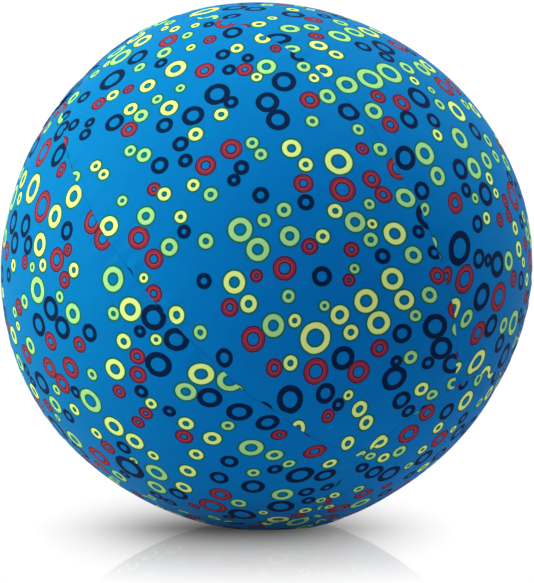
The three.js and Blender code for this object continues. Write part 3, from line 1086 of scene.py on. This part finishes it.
@dataclass
class Cover:
    """The sewn cover: six gores, the closed end and the seams between them."""

    form: BallForm
    cotton: Material
    stitches: Stitches
    thickness: float = 0.00018
    step: float = 0.0023
    half_squares: int = 22
    edge: TurnedEdge = TurnedEdge()
    puckers: Puckers = Puckers()
    pucker_seeds: int = 10
    end_pucker_seed: int = 91
    corner_depth: float = 0.0003
    end_fold: float = 1.12
    seam_thread_depth: float = 0.0009
    seam_margin: float = 0.001
    seam_points: int = 160
    circle_points: int = 240
    grain_seed: int = 100
    grain_range: Pair = (0.5, 4.2)

    def fold_line(self, cut: Array, reach: Array | float) -> tuple[Array, Array]:
        """Folds a line of cloth at both ends, and gives distances from its middle and depths."""
        inwards, depth = self.edge.fold(np.abs(cut) - (reach - self.edge.start))
        return np.sign(cut) * (reach - inwards), depth

    def fold_round(self, cut: Array) -> tuple[Array, Array]:
        """Folds the edge of a round cut.

        Args:
            cut: Flat points.

        Returns:
            The points with their edge turned in, and the depths below the outside.
        """
        radius = np.maximum(np.hypot(cut[:, 0], cut[:, 1]), TINY)
        folded, depth = self.fold_line(radius, self.form.end_radius)
        return cut * (folded / radius)[:, None], depth

    def stacked(self, first: Array, second: Array, deeper: float = 1.0) -> Array:
        """Gives the depths of cloth that is folded at two edges, the second a little deeper if asked."""
        corner = np.minimum(first, second) > self.edge.radius
        return np.maximum(first, deeper * second) + self.corner_depth * corner

    def grain(self, number: int) -> Array:
        """Gives where on the bolt of cloth a piece is cut, so that the print differs from piece to piece."""
        return np.random.default_rng(self.grain_seed + number).uniform(*self.grain_range, 2)

    def sheet(self, name: str, points: Array, faces: list, cut: Array, nodes: tuple[str, ...],
              flat: Pair, area: float, bend: Array | None = None) -> Piece:
        """Makes a sheet of cloth with its thickness, and hides the solids that it replaces.

        Args:
            name: Name of the piece.
            points: Points of its outside in the frame.
            faces: Point numbers of each face.
            cut: Places of the points on the flat cloth.
            nodes: The solids that it replaces.
            flat: Width and length of the cloth that it is cut from; not used.
            area: Flat area of the cut; not used.
            bend: Two points where a sheet that joins cover and flap starts and ends its bend; not used beyond
                whether it is given, and such a sheet rides on no body.

        Returns:
            The sheet.
        """
        made = meshed(name, points, [], faces)
        mesh = made.data
        mesh.materials.append(self.cotton)
        middle = self.form.middle
        if sum(face.normal.dot(face.center - middle) * face.area for face in mesh.polygons) < 0.0:
            mesh.flip_normals()
        corners = np.empty(len(mesh.loops), np.int32)
        mesh.loops.foreach_get("vertex_index", corners)
        layer = mesh.uv_layers.new(name=CLOTH_MAP)
        layer.data.foreach_set("uv", cut.reshape(-1, 2)[corners].astype(np.float32).ravel())
        wall = made.modifiers.new("wall", "SOLIDIFY")
        wall.thickness = self.thickness
        wall.offset = -1.0
        settle(made)
        if bend is None:
            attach(made, Body.COVER.value)
        else:
            tuple(bend[0])
            tuple(bend[1])
            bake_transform(made)
        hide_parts(*nodes)
        return made

    def gore(self, number: int) -> Piece:
        """Makes one gore from its flat cut.

        Args:
            number: Its number, 1 to the count of gores.

        Returns:
            The gore as a sheet of cloth.
        """
        form, edge = self.form, self.edge
        half_length = (math.pi / 2 - form.end_angle) * form.radius
        ends = half_length - edge.start + edge.lines
        rows = np.concatenate([-ends[::-1], spread(-ends[0], ends[0], self.step), ends])[:, None]
        along, row_depth = self.fold_line(rows, half_length)
        theta = math.pi / 2 + along / form.radius
        half_width = form.gore_angle / 2 * np.sin(theta) * form.radius
        sides = half_width - edge.start + edge.lines
        widest = form.gore_angle / 2 * form.radius - edge.start + edge.lines[0]
        flat = sides[:, :1] * spread(-1.0, 1.0, self.step / widest)
        cut = np.concatenate([-sides[:, ::-1], flat, sides], axis=1)
        across, side_depth = self.fold_line(cut, half_width)
        phi = (number - 1) * form.gore_angle + across / (np.sin(theta) * form.radius)
        theta = np.broadcast_to(theta, cut.shape)
        depth = self.stacked(side_depth, row_depth, self.end_fold)
        depth = depth - self.gore_puckers(number, theta, phi, across, half_width)
        widths = cut[:, -1] - cut[:, 0]
        return self.sheet(
            f"gore_{number}",
            form.lay(theta, phi, depth),
            grid_faces(*cut.shape).tolist(),
            np.stack(np.broadcast_arrays(cut, rows), axis=-1) + self.grain(number),
            (f"gore_panel_{number}",),
            flat=(2 * (np.max(half_width) + edge.width), 2 * (half_length + edge.width)),
            area=np.sum((widths[1:] + widths[:-1]) / 2 * np.diff(rows[:, 0])),
        )

    def gore_puckers(self, number: int, theta: Array, phi: Array, across: Array, half_width: Array) -> Array:
        """Sums the ripples from the four seams of a gore.

        Args:
            number: The gore's number.
            theta: Angles from the opening's pole.
            phi: Angles around it.
            across: Distances from the gore's middle line.
            half_width: Distance from there to the side seams.

        Returns:
            Lifts above the smooth cloth.
        """
        form = self.form
        along, around = theta * form.radius, phi * form.end_circle
        seams = (
            (half_width - across, along),
            (half_width + across, along),
            ((theta - form.end_angle) * form.radius, around),
            ((math.pi - form.end_angle - theta) * form.radius, around),
        )
        first = self.pucker_seeds * number + 1
        return sum(self.puckers.at(seed, *seam) for seed, seam in enumerate(seams, first))

    def round_cut(self) -> tuple[Array, list]:
        """Cuts a disc of cloth for a round end, in even squares inside and in rings along its edge.

        Returns:
            The flat points of the cut, and its faces.
        """
        count = self.half_squares
        steps = np.arange(-count, count + 1) / count
        across, along = np.meshgrid(steps, steps, indexing="ij")
        wide = np.abs(across) >= np.abs(along)
        reach = np.where(wide, across, along)
        share = np.where(wide, along, across) / np.where(reach == 0.0, 1.0, reach)
        angle = np.where(wide, share, 2.0 - share) * math.pi / 4
        lines = self.form.end_radius - self.edge.start + self.edge.lines
        rays = reach[..., None] * np.stack([np.cos(angle), np.sin(angle)], axis=-1)
        inside = lines[0] * rays.reshape(-1, 2)
        rim = np.flatnonzero(np.abs(reach).ravel() > 1.0 - 0.5 / count)
        rim = rim[np.argsort(np.arctan2(inside[rim, 1], inside[rim, 0]))]
        rings = (lines[1:, None, None] / lines[0] * inside[rim]).reshape(-1, 2)
        numbers = np.concatenate([rim, len(inside) + np.arange(len(rings))])
        bands = numbers[grid_faces(len(lines), len(rim), closed=True)]
        faces = np.concatenate([grid_faces(len(steps), len(steps)), bands])
        return np.concatenate([inside, rings]), faces.tolist()

    def closed_end(self) -> Piece:
        """Makes the round closed end.

        Returns:
            The end as a sheet of cloth.
        """
        form = self.form
        cut, faces = self.round_cut()
        laid, depth = self.fold_round(cut)
        inwards = form.end_radius - np.hypot(laid[:, 0], laid[:, 1])
        around = np.arctan2(laid[:, 1], laid[:, 0]) * form.end_circle
        lift = self.puckers.at(self.end_pucker_seed, inwards, around, FULL_TURN * form.end_circle)
        points = form.lay_end(laid, depth - lift, upper=False)
        reach = np.max(np.hypot(cut[:, 0], cut[:, 1]))
        return self.sheet("closed_end_cloth", points, faces, cut + self.grain(form.gores + 1),
                          ("closed_end",), flat=(2 * reach, 2 * reach), area=math.pi * reach**2)

    def seams(self) -> list[Piece]:
        """Sews the six gore seams and the two round seams.

        Returns:
            The rows of stitches.
        """
        form, sew, deep = self.form, self.stitches.sew, self.seam_thread_depth
        first = form.end_angle + self.seam_margin / form.radius
        theta = np.linspace(first, math.pi - first, self.seam_points)
        rows = []
        for number in range(1, form.gores + 1):
            line = form.lay(theta, np.full_like(theta, (number - 0.5) * form.gore_angle), deep)
            rows.append(sew(f"gore_stitches_{number}", f"gore_seam_thread_{number}", line))
        around = np.arange(self.circle_points) * FULL_TURN / self.circle_points
        for end, angle in (("closed_end", math.pi - form.end_angle), ("opening_end", form.end_angle)):
            line = form.lay(np.full_like(around, angle), around, deep)
            rows.append(sew(f"{end}_stitches", f"{end}_thread", line, closed=True))
        return rows

    def build(self) -> list[Piece]:
        """Makes the whole cover apart from its opening."""
        gores = [self.gore(number) for number in range(1, self.form.gores + 1)]
        return [*gores, self.closed_end(), *self.seams()]


@dataclass
class Opening:
    """The envelope opening: an outer flap that overlaps an inner flap, both hemmed.

    Places are distances over the cloth from the pole, along x towards the hem of the outer flap.
    """

    cover: Cover
    fold_x: float = -0.006
    fold_lines: tuple[int, ...] = tuple(range(-2, 9))
    fold_line_step: float = 0.001
    free_start: float = -0.002
    free_end: float = 0.004
    bend_x: Pair = (-0.011, 0.003)
    inner_hem_x: float = 0.006
    flap_hem_x: float = 0.030
    ramp_end_x: float = 0.0058
    side_gap: float = 0.0004
    lift: float = 0.0011
    hem: TurnedEdge = TurnedEdge(radius=0.00028, width=0.009, gap=0.0)
    stitch_inset: float = 0.007
    stitch_height: float = 0.00008
    hem_end_margin: float = 0.003
    hem_points: int = 90
    beyond: float = 1.0
    trim: float = 1e-5
    slice_width: float = 1e-6

    def disc(self, low: float, high: float, lines: list[float]) -> tuple[Array, list, float]:
        """Cuts a disc of cloth between two straight lines.

        Args:
            low: Lowest x of the cut.
            high: Highest x of the cut.
            lines: Further straight lines where the mesh needs an edge.

        Returns:
            The flat points of the cut, its faces and its area.
        """
        flat, whole = self.cover.round_cut()
        work = bmesh.new()
        points = [work.verts.new((x, y, 0.0)) for x, y in flat]
        for face in whole:
            work.faces.new([points[index] for index in face])
        for x, below, above in (*((x, False, False) for x in lines), (low, True, False), (high, False, True)):
            everything = work.verts[:] + work.edges[:] + work.faces[:]
            bmesh.ops.bisect_plane(work, geom=everything, dist=self.slice_width,
                                   plane_co=(x, 0.0, 0.0), plane_no=(1.0, 0.0, 0.0),
                                   clear_inner=below, clear_outer=above)
        work.verts.index_update()
        cut = np.array([vert.co[:2] for vert in work.verts])
        faces = [[vert.index for vert in face.verts] for face in work.faces]
        area = sum(face.calc_area() for face in work.faces)
        work.free()
        return cut, faces, area

    def outer_flap(self) -> Piece:
        """Makes the outer flap: sewn behind its fold, free and hemmed in front of it.

        Returns:
            The flap as one sheet that bends at the fold.
        """
        cover, form, hem = self.cover, self.cover.form, self.hem
        start = self.flap_hem_x - hem.start
        hem_lines = start + hem.lines
        fold_lines = [self.fold_x + self.fold_line_step * step for step in self.fold_lines]
        cut, faces, area = self.disc(-self.beyond, hem_lines[-1] - self.trim, [*hem_lines, *fold_lines])
        laid, depth = cover.fold_round(cut)
        free = smoothstep(laid[:, 0], self.fold_x + self.free_start, self.fold_x + self.free_end)
        laid = laid * (1.0 - free * self.side_gap / form.end_radius)[:, None]
        inwards, hem_depth = hem.fold(laid[:, 0] - start)
        laid[:, 0] = self.flap_hem_x - inwards
        climb = self.lift * smoothstep(laid[:, 0], self.fold_x, self.ramp_end_x)
        points = form.lay_end(laid, cover.stacked(depth, hem_depth) - climb)
        bend = form.lay_end(np.array([(x, 0.0) for x in self.bend_x]), 0.0)
        return cover.sheet("outer_flap", points, faces, cut + cover.grain(form.gores + 2),
                           ("flap_back", "opening_flap"), np.ptp(cut, axis=0), area, bend)

    def inner_flap(self) -> Piece:
        """Makes the inner flap, hemmed along the mouth.

        Returns:
            The flap as a sheet of cloth.
        """
        cover, hem = self.cover, self.hem
        start = self.inner_hem_x + hem.start
        lines = start - hem.lines
        cut, faces, area = self.disc(lines[-1] + self.trim, self.beyond, lines)
        laid, depth = cover.fold_round(cut)
        inwards, hem_depth = hem.fold(start - laid[:, 0])
        laid[:, 0] = self.inner_hem_x + inwards
        points = cover.form.lay_end(laid, cover.stacked(depth, hem_depth))
        return cover.sheet("inner_flap_cloth", points, faces, cut + cover.grain(cover.form.gores + 3),
                           ("inner_flap",), np.ptp(cut, axis=0), area)

    def hem_row(self, name: str, node: str, x: float, gap: float, lift: float, body: Body) -> Piece:
        """Sews the stitches of one hem.

        Args:
            name: Name of the piece.
            node: The solid that it replaces.
            x: Where the row runs.
            gap: How far the hem ends before the round seam.
            lift: How far the cloth there stands over the round end.
            body: The body that it rides on.

        Returns:
            The stitches.
        """
        half = math.sqrt((self.cover.form.end_radius - gap) ** 2 - x**2) - self.hem_end_margin
        y = np.linspace(-half, half, self.hem_points)
        line = self.cover.form.lay_end(np.column_stack([np.full_like(y, x), y]), -lift - self.stitch_height)
        return self.cover.stitches.sew(name, node, line, body=body)

    def build(self) -> list[Piece]:
        """Makes both flaps and their hems.

        Returns:
            The pieces.
        """
        outer_x, inner_x = self.flap_hem_x - self.stitch_inset, self.inner_hem_x + self.stitch_inset
        return [
            self.outer_flap(),
            self.inner_flap(),
            self.hem_row("outer_hem_stitches", "flap_hem_thread", outer_x,
                         self.side_gap, self.lift, Body.FLAP),
            self.hem_row("inner_hem_stitches", "inner_hem_thread", inner_x, 0.0, 0.0, Body.COVER),
        ]


@dataclass
class Balloon:
    """The latex balloon: its skin, the dimple under the opening, and the tied neck tucked into it.

    Guides of its tail are shares of a radius and of the tail's length.
    """

    form: BallForm
    latex: Material
    depth: float = 0.0022
    skin_points: int = 90
    dimple_radius: float = 0.018
    dimple_depth: float = 0.0175
    dimple_steps: int = 22
    neck_radius: float = 0.003
    neck_rise: float = 0.0024
    neck_steps: int = 10
    knot_radius: float = 0.005
    knot_height: float = 0.006
    knot_steps: int = 16
    knot_fullness: float = 0.6
    waist_depth: float = 0.16
    waist_angle: float = 1.57
    waist_reach: float = 0.22
    tail_length: float = 0.0055
    tail_radius: float = 0.0038
    tail_steps: int = 10
    tail_guides: tuple[Pair, Pair] = ((0.8, 0.4), (0.8, 0.6))
    lip_radius: float = 0.0009
    lip_steps: int = 11
    lip_flatness: float = 0.9
    inside_steps: int = 8
    inside_guides: tuple[Pair, Pair] = ((0.75, 0.7), (0.4, 0.3))
    segments: int = 96
    gathers: float = 9.0
    gather_depth: float = 0.05
    gather_twist: float = 100.0
    gather_reach: Pair = (0.9, 2.6)
    join: float = 1e-6

    @staticmethod
    def curve(guides: list, steps: int) -> Array:
        """Gives points along a smooth curve from the first to the last of four guide points.

        Args:
            guides: The guide points.
            steps: Number of steps along it.

        Returns:
            The points.
        """
        share = np.linspace(0.0, 1.0, steps + 1)
        rest = 1.0 - share
        pull = np.stack([rest**3, 3 * rest**2 * share, 3 * rest * share**2, share**3], axis=-1)
        return pull @ np.array(guides)

    def profile(self) -> Array:
        """Draws the balloon's outline from the far pole up to the mouth of its tail.

        Returns:
            Distances from the pole axis and heights along it.
        """
        theta = np.linspace(math.pi, self.dimple_radius / self.form.radius, self.skin_points)
        reach = self.form.round_radius(theta) - self.depth
        skin = np.stack([reach * np.sin(theta), reach * np.cos(theta)], axis=-1)
        rim_x, rim_z = skin[-1]
        floor = rim_z - self.dimple_depth
        wall = (rim_x + self.knot_radius) / 2
        foot = (self.knot_radius, floor)
        dimple = self.curve([(rim_x, rim_z), (wall, rim_z), (wall, floor), foot], self.dimple_steps)
        knot_foot = floor + self.neck_rise
        neck_foot = (self.neck_radius, floor)
        neck = self.curve([foot, neck_foot, neck_foot, (self.neck_radius, knot_foot)], self.neck_steps)
        turn = np.linspace(0.0, math.pi, self.knot_steps + 1)[1:-1]
        waist = 1.0 - self.waist_depth * np.exp(-(((turn - self.waist_angle) / self.waist_reach) ** 2))
        round_out = (self.knot_radius - self.neck_radius) * np.sin(turn) ** self.knot_fullness * waist
        rise = self.knot_height * (1.0 - np.cos(turn)) / 2
        knot = np.stack([self.neck_radius + round_out, knot_foot + rise], axis=-1)
        top = knot_foot + self.knot_height
        lip_foot = top + self.tail_length
        (near, low), (far, high) = self.tail_guides
        tail = self.curve([
            (self.neck_radius, top),
            (self.neck_radius * near, top + self.tail_length * low),
            (self.tail_radius * far, top + self.tail_length * high),
            (self.tail_radius, lip_foot),
        ], self.tail_steps)
        roll = np.linspace(-math.pi / 2, math.pi, self.lip_steps + 1)[1:]
        lip_x = self.tail_radius + self.lip_radius * np.cos(roll) * self.lip_flatness
        lip = np.stack([lip_x, lip_foot + self.lip_radius * (1.0 + np.sin(roll))], axis=-1)
        (far, high), (near, low) = self.inside_guides
        inside = self.curve([
            lip[-1],
            (self.tail_radius * far, top + self.tail_length * high),
            (self.neck_radius * near, top + self.tail_length * low),
            (0.0, top),
        ], self.inside_steps)
        return np.concatenate([skin, dimple[1:], neck[1:], knot, tail, lip, inside[1:]])

    def lathe(self) -> Tree:
        """Builds the node tree that turns an outline about the pole axis, gathered where it is tied.

        Returns:
            The tree.
        """
        sizes = ("Gathers", "Gather Depth", "Gather Twist", "Gather Inner", "Gather Outer")
        inputs = {"Segments": "Int", **dict.fromkeys(sizes, "Float"), "Skin": "Material"}
        board, given = Board.growing("turned_outline", inputs)
        outline = {"Geometry": given["Geometry"]}
        count = board.node("GeometryNodeAttributeDomainSize", outline, component="MESH")["Point Count"]
        columns = board.maths("ADD", given["Segments"], 1.0)
        grid = board.node("GeometryNodeMeshGrid", {"Vertices X": columns, "Vertices Y": count})["Mesh"]
        index = board.node("GeometryNodeInputIndex")[0]
        position = board.node("GeometryNodeInputPosition")[0]
        row = board.maths("MODULO", index, count)
        column = board.maths("FLOOR", board.maths("DIVIDE", index, count))
        picked = {**outline, "Value": position, "Index": row}
        spot = board.parts(board.node("GeometryNodeSampleIndex", picked, data_type="FLOAT_VECTOR")[0])
        angle = board.maths("MULTIPLY", board.maths("DIVIDE", column, given["Segments"]), FULL_TURN)
        reach = board.maths("MULTIPLY", spot[0], self.gathered(board, given, spot, angle))
        x, y = (board.maths("MULTIPLY", reach, board.maths(way, angle)) for way in ("COSINE", "SINE"))
        turned = board.node("ShaderNodeCombineXYZ", {0: x, 1: y, 2: spot[2]})[0]
        shell = board.node("GeometryNodeSetPosition", {"Geometry": grid, "Position": turned})[0]
        closed = board.node("GeometryNodeMergeByDistance", {"Geometry": shell, "Distance": self.join})[0]
        return board.dressed(closed, given["Skin"])

    @staticmethod
    def gathered(board: Board, given: Outputs, spot: Outputs, angle: Socket) -> Socket:
        """Gives the factor that draws the skin into folds near the upper end of the axis.

        Args:
            board: The tree.
            given: Its inputs.
            spot: The outline's point, split into its coordinates.
            angle: The angle around the axis.

        Returns:
            The factor's socket.
        """
        near = board.band(spot[0], given["Gather Inner"], given["Gather Outer"], 1.0, 0.0)
        upper = board.maths("GREATER_THAN", spot[2], 0.0)
        strength = board.maths("MULTIPLY", board.maths("MULTIPLY", near, upper), given["Gather Depth"])
        twist = board.maths("MULTIPLY", spot[2], given["Gather Twist"])
        wave = board.maths("COSINE", board.maths("MULTIPLY_ADD", angle, given["Gathers"], twist))
        return board.maths("MULTIPLY_ADD", strength, wave, 1.0)

    def blown(self, points: Array) -> Array:
        """Fits turned points to the uneven ball: swollen as the cover is, and flat on the ground.

        Args:
            points: Points about the ball's own axes.

        Returns:
            Points in the frame.
        """
        form = self.form
        toward = points / np.maximum(np.linalg.norm(points, axis=1, keepdims=True), TINY)
        points = points + toward * form.swell_at(toward)[:, None]
        over = np.maximum(points @ form.ground - form.rest_height + self.depth, 0.0)
        return form.to_frame(points - over[:, None] * form.ground)

    def build(self) -> list[Piece]:
        """Makes the balloon by turning its outline about the pole axis, with the folds of its tied neck.

        Returns:
            The balloon.
        """
        x, z = self.profile().T
        inner, outer = (self.knot_radius * share for share in self.gather_reach)
        made = grown(SKIN, np.stack([x, np.zeros_like(x), z], axis=-1), False, self.lathe(), {
            "Segments": self.segments,
            "Gathers": self.gathers,
            "Gather Depth": self.gather_depth,
            "Gather Twist": self.gather_twist,
            "Gather Inner": inner,
            "Gather Outer": outer,
            "Skin": self.latex,
        })
        work = bmesh.new()
        work.from_mesh(made.data)
        for vert, point in zip(work.verts, self.blown(np.array([vert.co for vert in work.verts]))):
            vert.co = point
        bmesh.ops.recalc_face_normals(work, faces=work.faces[:])
        work.to_mesh(made.data)
        work.free()
        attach(made, Body.COVER.value)
        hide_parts("balloon")
        return [made]


@dataclass(frozen=True)
class Lamp:
    """One soft studio light that faces the ball."""

    name: str
    toward: tuple[float, float, float]
    distance: float
    size: float
    power: float
    tint: tuple[float, float, float]

    def hang(self, middle: Vector) -> None:
        """Hangs the light around the ball.

        Args:
            middle: Middle of the ball.
        """
        lamp = bpy.data.lights.new(self.name, "AREA")
        lamp.shape = "DISK"
        lamp.size = self.size
        lamp.energy = self.power
        lamp.color = self.tint
        made = placed(self.name, lamp)
        made.location = middle + Vector(self.toward).normalized() * self.distance
        made.rotation_euler = (middle - made.location).to_track_quat("-Z", "Y").to_euler()
        made.visible_camera = False


@dataclass
class Studio:
    """The white floor, the soft lights and the camera."""

    form: BallForm
    picture: tuple[int, int] = (534, 583)
    ball_pixel: Pair = (266.5, 266.0)
    ball_pixels: float = 265.2
    distance: float = 1.885
    elevation: float = math.radians(4.0)
    sensor: float = 36.0
    farthest: float = 100.0
    floor_side: float = 30.0
    floor_drop: float = 0.0003
    seen_level: float = 1.05
    fill_level: float = 0.045
    lamps: tuple[Lamp, ...] = (
        Lamp("left_high", (-0.60, -0.35, 0.75), 1.6, 1.3, 21.5, (1.0, 1.14, 0.85)),
        Lamp("left_side", (-0.93, 0.05, 0.35), 1.6, 1.3, 25.0, (1.05, 1.30, 0.70)),
        Lamp("left_low", (-0.80, -0.50, 0.15), 1.6, 1.3, 6.5, (1.0, 1.0, 1.0)),
        Lamp("top_right", (0.42, 0.15, 0.88), 1.5, 1.0, 25.0, (1.0, 1.12, 0.87)),
        Lamp("right_rim", (0.85, 0.45, 0.33), 1.8, 1.2, 6.6, (0.95, 1.12, 0.85)),
        Lamp("front_top", (-0.05, -0.65, 0.75), 1.6, 1.3, 5.0, (0.6, 0.62, 1.40)),
    )

    def floor(self) -> None:
        """Lays the floor just under the ball."""
        half = self.floor_side / 2
        corners = [(-half, -half), (half, -half), (half, half), (-half, half)]
        points = np.array([(x, y, -self.floor_drop) for x, y in corners])
        made = meshed("floor", points, [], [range(len(corners))])
        made.data.materials.append(PolishedFloor().material())

    def surroundings(self) -> None:
        """Sets a background that looks white, also in the floor, and gives almost no light by itself."""
        world = bpy.data.worlds.new("studio")
        bpy.context.scene.world = world
        world.use_nodes = True
        board = Board(world.node_tree)
        path = board.node("ShaderNodeLightPath")
        seen = board.maths("MAXIMUM", path["Is Camera Ray"], path["Is Glossy Ray"])
        level = board.maths("MULTIPLY_ADD", seen, self.seen_level - self.fill_level, self.fill_level)
        sky = board.node("ShaderNodeBackground", {"Color": WHITE, "Strength": level})[0]
        board.node("ShaderNodeOutputWorld", {"Surface": sky})

    def camera(self) -> None:
        """Sets the camera so that the ball has the photograph's place and size."""
        middle = self.form.middle
        focal = self.ball_pixels * math.sqrt((self.distance / self.form.radius) ** 2 - 1.0)
        lens = bpy.data.cameras.new("camera")
        lens.sensor_fit = "HORIZONTAL"
        lens.sensor_width = self.sensor
        lens.lens = focal * self.sensor / self.picture[0]
        lens.clip_end = self.farthest
        made = placed("camera", lens)
        away = Vector((0.0, -math.cos(self.elevation), math.sin(self.elevation)))
        made.location = middle + away * self.distance
        up = Vector((0.0, math.sin(self.elevation), math.cos(self.elevation)))
        aside = zip(self.picture, self.ball_pixel)
        right, lower = ((size / 2 - at) * self.distance / focal for size, at in aside)
        aim = middle + Vector((right, 0.0, 0.0)) - up * lower
        made.rotation_euler = (aim - made.location).to_track_quat("-Z", "Y").to_euler()
        bpy.context.scene.camera = made

    def build(self) -> None:
        """Sets up the whole studio."""
        self.camera()
        self.floor()
        self.surroundings()
        for lamp in self.lamps:
            lamp.hang(self.form.middle)
        settings = bpy.context.scene.view_settings
        settings.view_transform = "Standard"
        settings.look = "None"


def main() -> None:
    """Builds every piece of the ball around the frame and reports it."""
    logging.basicConfig(level=logging.INFO, format="%(message)s")
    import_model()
    form = BallForm()
    Studio(form).build()
    balloon = Balloon(form, Latex().material())
    cover = Cover(form, PrintedCotton().material(), Stitches(SewingThread().material()))
    for assembly in (balloon, cover, Opening(cover)):
        for piece in assembly.build():
            LOG.info("%s: %d faces", piece.name, len(piece.data.polygons))


if __name__ == "__main__":
    main()
